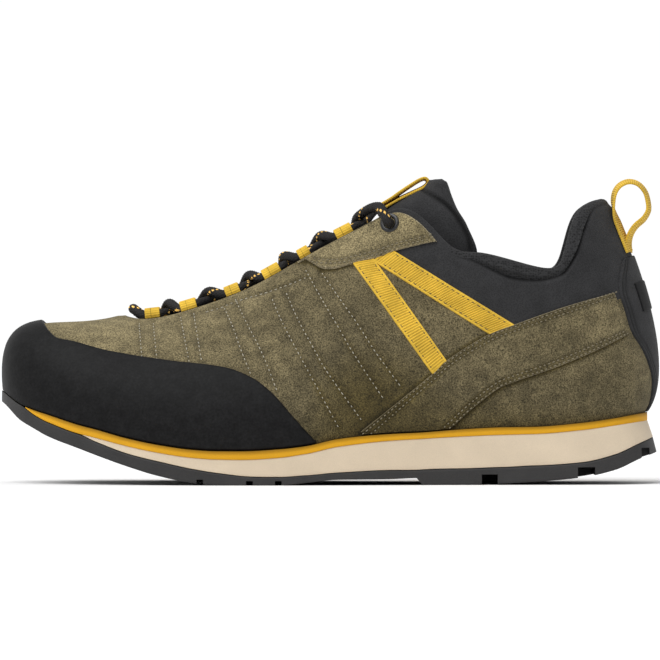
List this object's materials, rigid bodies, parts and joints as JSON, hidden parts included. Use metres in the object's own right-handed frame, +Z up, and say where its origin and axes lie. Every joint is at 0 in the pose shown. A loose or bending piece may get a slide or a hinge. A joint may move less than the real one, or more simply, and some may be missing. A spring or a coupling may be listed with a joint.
{
  "type": "approach shoe",
  "caption": "Low laced approach shoe with suede upper, padded collar, rubber toe rand, webbing straps and pull loops, on a foam wedge and lugged rubber sole",
  "frame": {"origin": "on the floor under the middle of the shoe's bounding box", "axes": "toe to -X, heel to +X, outer side of the foot to -Y, +Z up"},
  "size_m": [0.299, 0.104, 0.1391],
  "materials": {
    "sole_rubber": "matte black rubber",
    "rand_rubber": "matte black rubber",
    "sole_foam": "matte cream foam",
    "sole_yellow": "matte yellow foam",
    "suede": "napped olive suede",
    "neoprene": "matte black knit-faced neoprene",
    "lining": "black mesh",
    "webbing": "yellow ribbed webbing",
    "lace_cord": "black braided cord with yellow flecks",
    "eyelet_black": "matte black"
  },
  "bodies": {
    "root": {"outsole": "sole_rubber", "midsole": "sole_foam", "midsole_top_layer": "sole_yellow", "insole": "lining", "upper": "suede", "toe_rand": "rand_rubber", "quarter_band_lateral": "suede", "quarter_band_medial": "suede", "backstay": "neoprene", "heel_patch": "neoprene", "eyestay_lateral": "suede", "eyestay_medial": "suede", "strap_steep_lateral": "webbing", "strap_steep_medial": "webbing", "strap_shallow_lateral": "webbing", "strap_shallow_medial": "webbing", "lace_loop_lateral_1": "webbing", "lace_loop_lateral_2": "webbing", "lace_loop_lateral_3": "webbing", "lace_loop_lateral_4": "webbing", "lace_loop_lateral_5": "webbing", "lace_loop_lateral_6": "webbing", "lace_loop_medial_1": "webbing", "lace_loop_medial_2": "webbing", "lace_loop_medial_3": "webbing", "lace_loop_medial_4": "webbing", "lace_loop_medial_5": "webbing", "lace_loop_medial_6": "webbing", "eyelet_lateral": "eyelet_black", "eyelet_medial": "eyelet_black", "tongue": "neoprene", "tongue_pull_loop": "webbing", "heel_pull_loop": "webbing", "lace": "lace_cord"}
  },
  "joints": []
}
